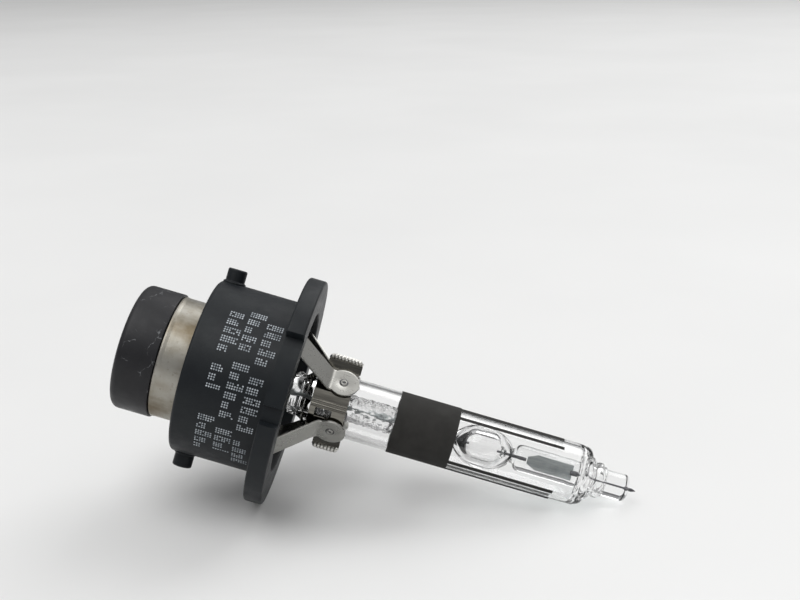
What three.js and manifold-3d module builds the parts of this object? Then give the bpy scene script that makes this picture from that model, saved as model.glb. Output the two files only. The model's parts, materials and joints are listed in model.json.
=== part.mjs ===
// Xenon discharge headlamp bulb, lying on its flange rim and on the shoulder of its glass envelope.
// Every piece is made in the lamp's own frame, in millimetres: +Z is the lamp axis, pointing from the
// connector to the glass tip, with Z = 0 on the front face of the flange (the seating face). +X points
// to the upper bayonet pin and +Y to the front side. The exported group tips the lamp over to rest.
import * as THREE from "three";
import { mergeVertices } from "three/addons/utils/BufferGeometryUtils.js";
import Module from "manifold-3d";

const wasm = await Module();
wasm.setup();

// Base housing
const FLANGE_RADIUS = 16;
const FLANGE_THICKNESS = 2.5;
const BODY_RADIUS = 12.2;
const BODY_REAR = -14.2;
const OPENING_RADIUS = 11.4;
const CAVITY_FLOOR = -9;
const REAR_FLOOR = -10.2;
const FLOOR_HOLE_RADIUS = 3.5;
const REAR_BORE_RADIUS = 8.6;
const EDGE_BREAK = 0.3;
const PIN_RADIUS = 1.35;
const PIN_REACH = 14.2;
const PIN_STATION = -12.4;

// Rim cut-outs of the flange: clock angle of the middle, angular width and radius of the floor
const RIM_CUTS = [
  { at: -29.5, width: 6.4, floor: 14.7 },
  { at: 8.2, width: 8.6, floor: 14.9 },
  { at: -11.2, width: 30, floor: 15.5 },
  { at: 178, width: 9, floor: 14.7 },
];

// Rear connector
const CAP_RADIUS = 8.8;
const CAP_REAR = -23.8;
const CAP_FRONT = -18.35;
const CAP_ROUND = 0.9;
const SOCKET_RADIUS = 6.6;
const SPIGOT_RADIUS = 7.75;
const SPIGOT_FRONT = -14.6;
const SLEEVE_OUTER = 8.5;
const SLEEVE_INNER = 7.9;
const SLEEVE_FRONT = -10.3;
const CORE_RADIUS = 3.3;
const CORE_COLLAR_RADIUS = 6.9;
const CORE_COLLAR = [-14.4, -10.3];
const CORE_REAR = -23;
const CORE_FRONT = -5.5;
const CONTACT_RADIUS = 0.7;
const CONTACT_SPAN = [-22.4, -6.6];

// Return strip, which joins the strap carrier to the contact sleeve along the lower side
const STRIP_CONDUCTOR_HALF_WIDTH = 1.5;
const STRIP_CONDUCTOR_REAR = -14;
const STRIP_CONDUCTOR_STEP = 0.3;
const STRIP_SLOT_CLEARANCE = 0.1;
const STRIP_SLOT_REACH = [7, 8.2];

// Burner holder inside the base
const SOCKET_BLOCK_RADIUS = 5;
const SOCKET_BLOCK_FRONT = -1.5;
const SOCKET_BLOCK_CHAMFER = 0.8;
const CARRIER_SPAN = [-8.9, -4.9];
const CARRIER_RADIUS = 11.3;

// Sheet-metal straps, one every quarter turn between the collar's ears
const STRAP_ANGLES = { upper_front: -45, lower_front: 45, lower_rear: 135, upper_rear: 225 };
const SHEET = 0.3;
const STRAP_ROOT_RADIUS = 10.3;
const STRAP_HALF_WIDTH = 1.7;
const STRAP_PLATE_RADIUS = 2.15;
const STRAP_ROOT = -8;
const STRAP_KNEE = -0.9;
const STRAP_ANKLE = 4.3;
const PLATE_STATION = 6.15;
const WELD_RADIUS = 0.6;
const WELD_BORE = 0.12;
const WELD_RIM = 0.18;

// Burner collar
const COLLAR_INNER = 4.32;
const COLLAR_SPAN = [2.6, 7.6];
const UPPER_EAR = { reach: 6.7, span: [3.2, 8] };
const LOWER_EAR = { reach: 6.4, span: [4.1, 7.9] };
const COLLAR_WINDOW = { at: 15, width: 15, span: [3.4, 5.7] };

// Glass envelope
const GLASS_RADIUS = 4.24;
const GLASS_WALL = 0.55;
const GLASS_REAR = -0.6;
const GLASS_NECK_RADIUS = 3.3;
const SHOULDER_STATION = 40.6;
const FRONT_NECK_RADIUS = 2.5;
const GLASS_FRONT = 44.6;
const REAR_DOME = { start: 1.4, length: 1.1 };
const FRONT_DOME = { length: 2.1, sweep: 75 };
const CAVITY_SPAN = [2, 42.2];
const CAVITY_DOME = 1.4;

// Obscuring coating on the envelope
const COATING_INNER = 4.28;
const COATING_THICKNESS = 0.1;
const BAND_SPAN = [14.25, 22.8];
const STRIP_END = 37.6;
const STRIP_WIDTH = 1;
const STRIP_ANGLES = [-77, 74, -48, 43];

// Arc tube and what it holds
const ARC_CENTRE = 27.1;
const ARC_GAP = 4.2;
const STEM_RADIUS = 1.88;
const STEM_SPAN = [-4.6, 47.9];
const NECK_RADIUS = 1.0;
const NECK_OFFSET = 4.1;
const SHOULDER_OFFSET = 5.5;
const SHOULDER_EASE = { inward: 0.15, along: 0.7 };
const VESSEL_RADIUS = 2.95;
const VESSEL_HALF_LENGTH = 4.35;
const STEM_TIP_ROUND = 0.6;
const CHAMBER_RADIUS = 1.8;
const CHAMBER_HALF_LENGTH = 3.5;
const BORE_RADIUS = 0.36;
const LEAD_RADIUS = 0.24;
const ELECTRODE_RADIUS = 0.16;
const ELECTRODE_FOOT = 6.3;
const FOIL_SPAN = [6.4, 12.9];
const FOIL_WIDTH = 1.5;
const FOIL_THICKNESS = 0.12;
const FOIL_CLEARANCE = 0.1;
const LEAD_TIP = 49.2;
const LEAD_TAPER = 0.9;
const LEAD_POINT = 0.05;
const LEAD_REAR = -6.2;

// The lamp has rolled back on its flange, so the upper pin leans this far to the rear
const ROLL_BACK = 18;

const GAP = 0.05;
const ROUND = 48;
const FINE = 32;
const WIRE = 12;
const OVERCUT = 1;
const MERGE_DISTANCE = 1e-4;

const COLOURS = {
  housing: { color: 0x3f434b, roughness: 0.55, metalness: 0 },
  cap: { color: 0x3a3b40, roughness: 0.6, metalness: 0 },
  core: { color: 0x25272b, roughness: 0.6, metalness: 0 },
  tin: { color: 0xb9b7ac, roughness: 0.4, metalness: 1 },
  steel: { color: 0xa9a7a0, roughness: 0.3, metalness: 1 },
  brass: { color: 0xb8923f, roughness: 0.35, metalness: 1 },
  glass: { color: 0xe6eaea, roughness: 0.03, metalness: 0, transparent: true, opacity: 0.35 },
  coating: { color: 0x3b3936, roughness: 0.8, metalness: 0 },
  foil: { color: 0x6d7276, roughness: 0.35, metalness: 1 },
  tungsten: { color: 0x55565a, roughness: 0.4, metalness: 1 },
};

const lamp = new THREE.Group();

function piece(name, geometry, finish) {
  const mesh = new THREE.Mesh(geometry, new THREE.MeshStandardMaterial(COLOURS[finish]));
  mesh.name = name;
  lamp.add(mesh);
  return mesh;
}

// A solid of revolution about +Z from [radius, station] points, which run anticlockwise, seen with the axis
// at the left.
function turned(points, segments = ROUND) {
  const outline = points.map(([radius, station]) => new THREE.Vector2(radius, station));
  return new THREE.LatheGeometry(outline, segments).rotateX(Math.PI / 2);
}

// A ring's profile closes on itself.
function ring(points, segments = ROUND) {
  return turned([...points, points[0]], segments);
}

function tube(inner, outer, rear, front, segments = ROUND) {
  return ring([[inner, rear], [outer, rear], [outer, front], [inner, front]], segments);
}

function rod(radius, rear, front, segments = WIRE) {
  return turned([[0, rear], [radius, rear], [radius, front], [0, front]], segments);
}

// A box given by its lowest and highest corners.
function block([x0, y0, z0], [x1, y1, z1]) {
  return new THREE.BoxGeometry(x1 - x0, y1 - y0, z1 - z0).translate(
    (x0 + x1) / 2,
    (y0 + y1) / 2,
    (z0 + z1) / 2,
  );
}

// Clock angle 0 is the front side (+Y), 90 the lower pin (-X) and -90 the upper pin (+X).
function clocked(geometry, degrees) {
  return geometry.rotateZ(THREE.MathUtils.degToRad(degrees));
}

function solid(geometry) {
  const bare = geometry.clone();
  bare.deleteAttribute("normal");
  bare.deleteAttribute("uv");
  const merged = mergeVertices(bare, MERGE_DISTANCE);
  const corners = merged.index.array;
  const kept = [];
  for (let i = 0; i < corners.length; i += 3) {
    const [a, b, c] = [corners[i], corners[i + 1], corners[i + 2]];
    if (a !== b && b !== c && c !== a) kept.push(a, b, c);
  }
  const vertProperties = merged.attributes.position.array;
  return new wasm.Manifold(
    new wasm.Mesh({ numProp: 3, vertProperties, triVerts: new Uint32Array(kept) }),
  );
}

function surface(body) {
  const mesh = body.getMesh();
  return new THREE.BufferGeometry()
    .setAttribute("position", new THREE.BufferAttribute(mesh.vertProperties, 3))
    .setIndex(new THREE.BufferAttribute(mesh.triVerts, 1));
}

function joined(geometries) {
  return geometries.map(solid).reduce((whole, part) => whole.add(part));
}

function cut(geometry, cutters) {
  return surface(cutters.reduce((left, cutter) => left.subtract(solid(cutter)), solid(geometry)));
}

// Points of an arc in the radius-station plane, from one angle to another, in degrees.
function arc(radius, station, across, along, from, to, steps) {
  return Array.from({ length: steps + 1 }, (_, i) => {
    const angle = THREE.MathUtils.degToRad(from + ((to - from) * i) / steps);
    return [radius + across * Math.cos(angle), station + along * Math.sin(angle)];
  });
}

// The slot that lets the return strip through a wall, from the wall's rear to its front.
function stripSlot(rear, front) {
  const half = STRIP_CONDUCTOR_HALF_WIDTH + STRIP_SLOT_CLEARANCE;
  const [inner, outer] = STRIP_SLOT_REACH;
  return block([-half, -outer, rear - OVERCUT], [half, -inner, front + OVERCUT]);
}

function baseHousing() {
  const flangeRear = -FLANGE_THICKNESS;
  const shell = ring([
    [REAR_BORE_RADIUS, BODY_REAR],
    [BODY_RADIUS - EDGE_BREAK, BODY_REAR],
    [BODY_RADIUS, BODY_REAR + EDGE_BREAK],
    [BODY_RADIUS, flangeRear],
    [FLANGE_RADIUS - EDGE_BREAK, flangeRear],
    [FLANGE_RADIUS, flangeRear + EDGE_BREAK],
    [FLANGE_RADIUS, 0],
    [OPENING_RADIUS, 0],
    [OPENING_RADIUS, CAVITY_FLOOR],
    [FLOOR_HOLE_RADIUS, CAVITY_FLOOR],
    [FLOOR_HOLE_RADIUS, REAR_FLOOR],
    [REAR_BORE_RADIUS, REAR_FLOOR],
  ]);
  const pin = (side) =>
    new THREE.CylinderGeometry(PIN_RADIUS, PIN_RADIUS, PIN_REACH - OPENING_RADIUS, 24)
      .rotateZ(Math.PI / 2)
      .translate((side * (PIN_REACH + OPENING_RADIUS)) / 2, 0, PIN_STATION);
  const rimCut = ({ at, width, floor }) => {
    const half = FLANGE_RADIUS * Math.sin(THREE.MathUtils.degToRad(width / 2));
    const cutter = block([-half, floor, flangeRear - OVERCUT], [half, FLANGE_RADIUS + OVERCUT, OVERCUT]);
    return clocked(cutter, at);
  };
  const whole = joined([shell, pin(1), pin(-1)]);
  return cut(surface(whole), [...RIM_CUTS.map(rimCut), stripSlot(REAR_FLOOR, CAVITY_FLOOR)]);
}

function connectorCap() {
  return ring([
    [SOCKET_RADIUS, CAP_REAR],
    ...arc(CAP_RADIUS - CAP_ROUND, CAP_REAR + CAP_ROUND, CAP_ROUND, CAP_ROUND, -90, 0, 4),
    [CAP_RADIUS, CAP_FRONT],
    [SPIGOT_RADIUS, CAP_FRONT],
    [SPIGOT_RADIUS, SPIGOT_FRONT],
    [SOCKET_RADIUS, SPIGOT_FRONT],
  ]);
}

function connectorCore() {
  const bore = CONTACT_RADIUS + GAP;
  const [collarRear, collarFront] = CORE_COLLAR;
  return ring([
    [bore, CORE_REAR],
    [CORE_RADIUS - EDGE_BREAK, CORE_REAR],
    [CORE_RADIUS, CORE_REAR + EDGE_BREAK],
    [CORE_RADIUS, collarRear],
    [CORE_COLLAR_RADIUS, collarRear],
    [CORE_COLLAR_RADIUS, collarFront],
    [CORE_RADIUS, collarFront],
    [CORE_RADIUS, CORE_FRONT],
    [bore, CORE_FRONT],
  ], FINE);
}

function centreContact() {
  const [rear, front] = CONTACT_SPAN;
  const tip = arc(0, rear + CONTACT_RADIUS, CONTACT_RADIUS, CONTACT_RADIUS, -90, 0, 4);
  return turned([...tip, [CONTACT_RADIUS, front], [0, front]], 16);
}

function burnerSocket() {
  const [rear] = CARRIER_SPAN;
  const step = CORE_FRONT + 2 * GAP;
  const stemBore = STEM_RADIUS + GAP;
  return ring([
    [CORE_RADIUS + GAP, rear],
    [SOCKET_BLOCK_RADIUS, rear],
    [SOCKET_BLOCK_RADIUS, SOCKET_BLOCK_FRONT - SOCKET_BLOCK_CHAMFER],
    [SOCKET_BLOCK_RADIUS - SOCKET_BLOCK_CHAMFER, SOCKET_BLOCK_FRONT],
    [stemBore, SOCKET_BLOCK_FRONT],
    [stemBore, step],
    [CORE_RADIUS + GAP, step],
  ], FINE);
}

function strapCarrier() {
  const [rear, front] = CARRIER_SPAN;
  const body = tube(SOCKET_BLOCK_RADIUS + GAP, CARRIER_RADIUS, rear, front);
  const inner = STRAP_ROOT_RADIUS - SHEET / 2 - GAP;
  const outer = STRAP_ROOT_RADIUS + SHEET / 2 + GAP;
  const half = STRAP_HALF_WIDTH + GAP;
  const slot = (angle) => clocked(block([-half, inner, STRAP_ROOT - GAP], [half, outer, 0]), angle);
  return cut(body, [...Object.values(STRAP_ANGLES).map(slot), stripSlot(rear, front)]);
}

// The strap's middle line in the station-radius plane runs along the cavity wall, slants in to the collar
// and ends as a plate tangent to it. Its outline from above is a narrow leg and a round plate.
function strap(angle) {
  const plateRadius = COLLAR_INNER + SHEET + GAP + SHEET / 2;
  const plateEnd = PLATE_STATION + STRAP_PLATE_RADIUS;
  const line = [
    [STRAP_ROOT, STRAP_ROOT_RADIUS],
    [STRAP_KNEE, STRAP_ROOT_RADIUS],
    [STRAP_ANKLE, plateRadius],
    [plateEnd, plateRadius],
  ];
  const slant = Math.atan2(STRAP_ROOT_RADIUS - plateRadius, STRAP_ANKLE - STRAP_KNEE);
  const shift = (SHEET / 2) * Math.tan(slant / 2);
  const offsets = [0, shift, shift, 0];
  const side = (sign) =>
    line.map(([station, radius], i) => {
      const turn = i === 1 ? 1 : -1;
      return new THREE.Vector2(station + sign * turn * offsets[i], radius + (sign * SHEET) / 2);
    });
  const width = 2 * (STRAP_PLATE_RADIUS + OVERCUT);
  const sheet = new THREE.ExtrudeGeometry(new THREE.Shape([...side(-1), ...side(1).reverse()]), {
    depth: width,
    bevelEnabled: false,
  });
  // The shape's X is the station and its Y the radius: turn them to +Z and +Y.
  sheet.translate(0, 0, -width / 2).rotateY(-Math.PI / 2);
  const neck = Math.sqrt(STRAP_PLATE_RADIUS ** 2 - STRAP_HALF_WIDTH ** 2);
  const start = Math.atan2(STRAP_HALF_WIDTH, -neck);
  const plan = new THREE.Shape();
  plan.moveTo(STRAP_ROOT - OVERCUT, -STRAP_HALF_WIDTH);
  plan.lineTo(PLATE_STATION - neck, -STRAP_HALF_WIDTH);
  plan.absarc(PLATE_STATION, 0, STRAP_PLATE_RADIUS - MERGE_DISTANCE, -start, start, false);
  plan.lineTo(STRAP_ROOT - OVERCUT, STRAP_HALF_WIDTH);
  const outline = new THREE.ExtrudeGeometry(plan, {
    depth: FLANGE_RADIUS,
    bevelEnabled: false,
    curveSegments: 10,
  });
  // The plan's X is the station, its Y the width: stand its depth up along +Y.
  outline.rotateX(-Math.PI / 2).rotateY(-Math.PI / 2);
  const body = solid(sheet).intersect(solid(outline));
  return clocked(surface(body), angle);
}

// A spot weld: a low button with a rim, on the strap's plate.
function weld(angle) {
  const foot = COLLAR_INNER + 2 * SHEET + 2 * GAP;
  const profile = [
    [WELD_BORE, 0],
    [WELD_RADIUS, 0],
    [WELD_RADIUS, WELD_RIM / 3],
    [WELD_RADIUS * 0.75, WELD_RIM],
    [WELD_RADIUS * 0.6, WELD_RIM],
    [WELD_BORE, WELD_RIM / 2],
  ];
  const button = ring(profile, 16);
  return clocked(button.rotateX(-Math.PI / 2).translate(0, foot, PLATE_STATION), angle);
}

// Half of the collar: a half ring with an ear at each end, standing out along +X and -X. The rear half is
// the front one turned round, so its ears change places.
function collarHalf(side) {
  const outer = COLLAR_INNER + SHEET;
  const [rear, front] = COLLAR_SPAN;
  const near = GAP / 2;
  const half = solid(tube(COLLAR_INNER, outer, rear, front, FINE)).intersect(
    solid(block([-outer - OVERCUT, near, rear - OVERCUT], [outer + OVERCUT, outer + OVERCUT, front + OVERCUT])),
  );
  const ear = (sign) => {
    const { reach, span } = sign * side > 0 ? UPPER_EAR : LOWER_EAR;
    const ends = [sign * (COLLAR_INNER + GAP), sign * reach].sort((a, b) => a - b);
    return solid(block([ends[0], near, span[0]], [ends[1], near + SHEET, span[1]]));
  };
  const { at, width, span } = COLLAR_WINDOW;
  const reach = outer * Math.sin(THREE.MathUtils.degToRad(width / 2));
  const window = block([-reach, COLLAR_INNER - OVERCUT, span[0]], [reach, outer + OVERCUT, span[1]]);
  const whole = half.add(ear(1)).add(ear(-1)).subtract(solid(clocked(window, at)));
  return side > 0 ? surface(whole) : clocked(surface(whole), 180);
}

function glassEnvelope() {
  const inner = GLASS_RADIUS - GLASS_WALL;
  const bore = STEM_RADIUS + GAP;
  const [cavityRear, cavityFront] = CAVITY_SPAN;
  const rearSwell = GLASS_RADIUS - GLASS_NECK_RADIUS;
  const rearDome = REAR_DOME.start + REAR_DOME.length;
  const frontSwell = GLASS_RADIUS - FRONT_NECK_RADIUS;
  const tipRound = FRONT_NECK_RADIUS - bore;
  const tip = GLASS_FRONT - tipRound * 2;
  return ring([
    [bore, GLASS_REAR],
    [GLASS_NECK_RADIUS - EDGE_BREAK, GLASS_REAR],
    [GLASS_NECK_RADIUS, GLASS_REAR + EDGE_BREAK],
    [GLASS_NECK_RADIUS, REAR_DOME.start],
    ...arc(GLASS_NECK_RADIUS, rearDome, rearSwell, REAR_DOME.length, -90, 0, 4),
    ...arc(FRONT_NECK_RADIUS, SHOULDER_STATION, frontSwell, FRONT_DOME.length, 0, FRONT_DOME.sweep, 5),
    ...arc(bore, tip, tipRound, tipRound * 2, 0, 90, 4),
    [bore, cavityFront],
    ...arc(bore, SHOULDER_STATION, inner - bore, CAVITY_DOME, 90, 0, 4),
    [inner, cavityRear + CAVITY_DOME],
    [bore + SHEET * 2, cavityRear],
    [bore, cavityRear],
  ]);
}

// The coating is a band with narrow strips that run forward along the envelope.
function shieldCoating() {
  const outer = COATING_INNER + COATING_THICKNESS;
  const [rear, front] = BAND_SPAN;
  const skin = solid(tube(COATING_INNER, outer, rear, STRIP_END));
  const bandPlug = solid(rod(outer + OVERCUT, rear - OVERCUT, front, ROUND));
  const half = STRIP_WIDTH / 2;
  const strips = STRIP_ANGLES.map((angle) => {
    const strip = block([-half, 0, front - OVERCUT], [half, outer + OVERCUT, STRIP_END + OVERCUT]);
    return solid(clocked(strip, angle));
  });
  return surface(skin.intersect(strips.reduce((all, strip) => all.add(strip), bandPlug)));
}

function arcTube() {
  const [rear, front] = STEM_SPAN;
  const rise = (sign) => {
    const neck = [NECK_RADIUS, ARC_CENTRE + sign * NECK_OFFSET];
    const full = [STEM_RADIUS, ARC_CENTRE + sign * SHOULDER_OFFSET];
    const { inward, along } = SHOULDER_EASE;
    const middle = [STEM_RADIUS - inward, ARC_CENTRE + sign * (SHOULDER_OFFSET - along)];
    return sign < 0 ? [full, middle, neck] : [neck, middle, full];
  };
  const vessel = arc(0, ARC_CENTRE, VESSEL_RADIUS, VESSEL_HALF_LENGTH, -68, 68, 10);
  const chamber = arc(0, ARC_CENTRE, CHAMBER_RADIUS, CHAMBER_HALF_LENGTH, 76, -76, 8);
  const body = ring([
    [BORE_RADIUS, rear],
    [STEM_RADIUS, rear],
    ...rise(-1),
    ...vessel,
    ...rise(1),
    [STEM_RADIUS, front - STEM_TIP_ROUND],
    [STEM_RADIUS - STEM_TIP_ROUND, front],
    [BORE_RADIUS, front],
    ...chamber,
  ], FINE);
  const reach = FOIL_WIDTH / 2 + FOIL_CLEARANCE;
  const depth = FOIL_THICKNESS / 2 + FOIL_CLEARANCE;
  const slot = (sign) => {
    const [near, far] = [FOIL_SPAN[0] - FOIL_CLEARANCE, FOIL_SPAN[1] + FOIL_CLEARANCE];
    const ends = [near, far].map((offset) => ARC_CENTRE + sign * offset);
    return block([-reach, -depth, Math.min(...ends)], [reach, depth, Math.max(...ends)]);
  };
  return cut(body, [slot(-1), slot(1)]);
}

function electrode(sign) {
  const tip = ARC_CENTRE + (sign * ARC_GAP) / 2;
  const foot = ARC_CENTRE + sign * (ELECTRODE_FOOT - GAP);
  return rod(ELECTRODE_RADIUS, Math.min(tip, foot), Math.max(tip, foot));
}

function foil(sign) {
  const ends = FOIL_SPAN.map((offset) => ARC_CENTRE + sign * offset);
  const [low, high] = [Math.min(...ends), Math.max(...ends)];
  return block([-FOIL_WIDTH / 2, -FOIL_THICKNESS / 2, low], [FOIL_WIDTH / 2, FOIL_THICKNESS / 2, high]);
}

function frontLead() {
  const start = ARC_CENTRE + FOIL_SPAN[1] + GAP;
  const profile = [
    [0, start],
    [LEAD_RADIUS, start],
    [LEAD_RADIUS, LEAD_TIP - LEAD_TAPER],
    [LEAD_POINT, LEAD_TIP],
    [0, LEAD_TIP],
  ];
  return turned(profile, WIRE);
}

function rearLead() {
  return rod(LEAD_RADIUS, LEAD_REAR, ARC_CENTRE - FOIL_SPAN[1] - GAP);
}

// The strip that carries the return current from the strap carrier to the contact sleeve.
function returnStrip() {
  const half = STRIP_CONDUCTOR_HALF_WIDTH;
  const wall = SLEEVE_INNER - 4 * GAP;
  const footRear = CARRIER_SPAN[1] + 2 * STRIP_CONDUCTOR_STEP;
  const footFront = footRear + STRIP_CONDUCTOR_STEP;
  const riser = block([-half, -wall, STRIP_CONDUCTOR_REAR], [half, -wall + SHEET, footFront]);
  const foot = block([-half, -STRAP_ROOT_RADIUS + SHEET, footRear], [half, -wall + GAP, footFront]);
  return surface(joined([riser, foot]));
}

piece("base_housing", baseHousing(), "housing");
piece("connector_cap", connectorCap(), "cap");
piece("contact_sleeve", tube(SLEEVE_INNER, SLEEVE_OUTER, CAP_FRONT + GAP, SLEEVE_FRONT), "tin");
piece("connector_core", connectorCore(), "core");
piece("centre_contact", centreContact(), "brass");
piece("burner_socket", burnerSocket(), "core");
piece("strap_carrier", strapCarrier(), "core");
piece("return_strip", returnStrip(), "tin");
for (const [place, angle] of Object.entries(STRAP_ANGLES)) {
  piece("strap_" + place, strap(angle), "steel");
  piece("weld_" + place, weld(angle), "steel");
}
piece("collar_front", collarHalf(1), "steel");
piece("collar_rear", collarHalf(-1), "steel");
piece("glass_envelope", glassEnvelope(), "glass");
piece("shield_coating", shieldCoating(), "coating");
piece("arc_tube", arcTube(), "glass");
piece("electrode_rear", electrode(-1), "tungsten");
piece("electrode_front", electrode(1), "tungsten");
piece("foil_rear", foil(-1), "foil");
piece("foil_front", foil(1), "foil");
piece("lead_rear", rearLead(), "foil");
piece("lead_front", frontLead(), "foil");

// At rest the flange rim and the envelope's shoulder both touch the surface.
const droop = Math.atan2(FLANGE_RADIUS - GLASS_RADIUS, SHOULDER_STATION);
const up = new THREE.Vector3(Math.sin(droop), 0, Math.cos(droop));
const front = new THREE.Vector3(0, -1, 0);
const axis = new THREE.Vector3(Math.cos(droop), 0, -Math.sin(droop));
lamp.matrixAutoUpdate = false;
lamp.matrix.makeBasis(up, front, axis);
lamp.matrix.multiply(new THREE.Matrix4().makeRotationZ(THREE.MathUtils.degToRad(-ROLL_BACK)));

const box = new THREE.Box3();
lamp.updateMatrixWorld(true);
box.setFromObject(lamp, true);
const centre = box.getCenter(new THREE.Vector3());
const group = new THREE.Group();
group.position.set(-centre.x, -centre.y, -box.min.z);
group.add(lamp);

export default group;
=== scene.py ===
import json
import math
import random

import bmesh
import bpy
from mathutils import Matrix, Vector, noise


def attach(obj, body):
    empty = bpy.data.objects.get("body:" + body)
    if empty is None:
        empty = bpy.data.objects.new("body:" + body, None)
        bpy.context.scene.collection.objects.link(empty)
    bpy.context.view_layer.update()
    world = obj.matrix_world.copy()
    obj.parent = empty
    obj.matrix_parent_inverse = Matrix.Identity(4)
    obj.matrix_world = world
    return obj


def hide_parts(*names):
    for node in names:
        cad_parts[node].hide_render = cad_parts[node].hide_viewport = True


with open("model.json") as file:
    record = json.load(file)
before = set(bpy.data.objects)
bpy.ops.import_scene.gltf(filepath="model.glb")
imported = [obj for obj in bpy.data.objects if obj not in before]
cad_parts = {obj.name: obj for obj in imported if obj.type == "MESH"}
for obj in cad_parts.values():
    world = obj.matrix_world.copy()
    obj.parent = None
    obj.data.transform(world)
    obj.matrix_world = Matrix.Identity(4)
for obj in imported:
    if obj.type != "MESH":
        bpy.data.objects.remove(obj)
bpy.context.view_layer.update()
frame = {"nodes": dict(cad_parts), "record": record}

MM = 0.001
SEGMENTS = 192
PIN_SEGMENTS = 48
WIRE_SEGMENTS = 32
WELD_SEGMENTS = 40
ROUND_STEPS = 6
GAP = 0.05
SHARP_ANGLE = math.radians(38)

# How the lamp lies: rolled back about its axis, and the radius at which the record's seat mount is given
ROLL_BACK = 18
SEAT_RADIUS = 13.7

# Base housing
FLANGE_RADIUS = 16.0
FLANGE_THICKNESS = 2.5
BODY_RADIUS = 12.2
BODY_REAR = -14.2
OPENING_RADIUS = 11.4
CAVITY_FLOOR = -9.0
REAR_FLOOR = -10.2
FLOOR_HOLE_RADIUS = 3.5
REAR_BORE_RADIUS = 8.6
PIN_RADIUS = 1.35
PIN_REACH = 14.2
PIN_STATION = -12.4
PIN_FLARE = 0.25
PIN_ROOT = OPENING_RADIUS + 0.2
NOTCH_EDGE = 0.25
# Rim cut-outs: first clock angle, last clock angle, radius of the floor
RIM_CUTS = [(-32.7, -26.3, 14.7), (3.9, 12.5, 14.9), (-26.3, 3.9, 15.5), (173.5, 182.5, 14.7)]

# Rear connector
CAP_RADIUS = 8.8
CAP_REAR = -23.8
CAP_FRONT = -18.35
SOCKET_RADIUS = 6.6
SPIGOT_RADIUS = 7.75
SPIGOT_FRONT = -14.6
SLEEVE_OUTER = 8.5
SLEEVE_INNER = 7.9
SLEEVE_FRONT = -10.3
SLEEVE_ROLL = 0.05
CORE_RADIUS = 3.3
CORE_COLLAR_RADIUS = 6.9
CORE_COLLAR = (-14.4, -10.3)
CORE_REAR = -23.0
CORE_FRONT = -5.5
CONTACT_RADIUS = 0.7
CONTACT_SPAN = (-22.4, -6.6)

# Burner holder
HOLDER_RADIUS = 5.0
HOLDER_FRONT = -1.5
CARRIER_SPAN = (-8.9, -4.9)
CARRIER_RADIUS = 11.3

# Sheet-metal straps and collar
STRAPS = {"upper_front": -45, "lower_front": 45, "lower_rear": 135, "upper_rear": 225}
SHEET = 0.3
SHEET_EDGE = 0.045
STRAP_ROOT_RADIUS = 10.3
STRAP_HALF_WIDTH = 1.7
STRAP_PLATE_RADIUS = 2.15
STRAP_ROOT = -8.0
STRAP_KNEE = -0.9
STRAP_ANKLE = 4.3
PLATE_STATION = 6.15
BEND_RADIUS = 0.9
DISH_DEPTH = 0.12
DISH_RADIUS = 0.95
WELD_RADIUS = 0.62
WELD_RIM_RADIUS = 0.42
COLLAR_INNER = 4.32
COLLAR_SPAN = (2.6, 7.6)
UPPER_EAR = (6.7, (3.2, 8.0))
LOWER_EAR = (6.4, (4.1, 7.9))
EAR_CORNER = 0.7
CRIMP_DEPTH = 0.62
CRIMP_PITCH = 0.5
CRIMP_HEIGHT = 0.26
BEAD_CLOCKS = (-3.5, 3.5)
BEAD_SPREAD = 1.6
BEAD_HEIGHT = 0.13
COLLAR_GAP = 0.175
COLLAR_BEND = 0.35
WINDOW_CLOCK = (7.5, 22.5)
WINDOW_SPAN = (3.4, 5.7)

# Glass envelope and its coating
GLASS_RADIUS = 4.24
GLASS_WALL = 0.55
GLASS_REAR = -0.6
GLASS_NECK_RADIUS = 3.3
SHOULDER_STATION = 40.6
FRONT_NECK_RADIUS = 2.5
GLASS_FRONT = 44.6
FUSED_REAR = 5.6
# Stretches of glass that were worked in the flame
REAR_WORKED = (-1.0, 3.4)
FRONT_WORKED = (41.0, 44.9)
COATING_RADIUS = 4.33
COATING_THICKNESS = 0.06
BAND_SPAN = (14.25, 22.8)
STRIP_END = 37.6
BAND_STEPS = 24
STRIP_STEPS = 40
# Clock angle and half width of each strip
STRIPS = ((-77, 0.5), (-48, 0.24), (43, 0.3), (74, 0.5))

# Arc tube and what it holds
ARC_CENTRE = 27.1
ARC_GAP = 4.2
STEM_RADIUS = 1.88
STEM_SPAN = (-4.6, 47.9)
PINCH_SPAN = (7.4, 14.4)
NECK_RADIUS = 1.0
NECK_OFFSET = 4.1
SHOULDER_OFFSET = 5.5
VESSEL_RADIUS = 2.95
CHAMBER_RADIUS = 1.8
CHAMBER_HALF_LENGTH = 3.5
CHAMBER_BARREL = 1.7
LEAD_RADIUS = 0.24
LEAD_THIN = 0.09
ELECTRODE_RADIUS = 0.16
ELECTRODE_FOOT = 6.3
FOIL_SPAN = (6.4, 12.9)
FOIL_WIDTH = 1.5
FOIL_THICKNESS = 0.05
# Width of a foil at its inner end, as a share, and how fast it widens along the foil
FOIL_TIP_SHARE = 0.45
FOIL_TAPER = 2.6
LEAD_TIP = 49.2
LEAD_REAR = -6.2

# Printed dots on the housing
DOT_PITCH = 0.33
DOT_RADIUS = 0.12
DOT_HEIGHT = 0.012
DOT_MISSING = 0.05
BAR_HEIGHTS = (7, 7, 4, 7, 5, 3, 6, 5)
# Rows of printing: station of the middle, first and last clock angle
PRINT_ROWS = [(-4.15, -44, 62), (-6.75, -50, 52), (-9.35, -46, 8), (-9.35, 24, 60)]
DOTS_ACROSS = 7

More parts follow.
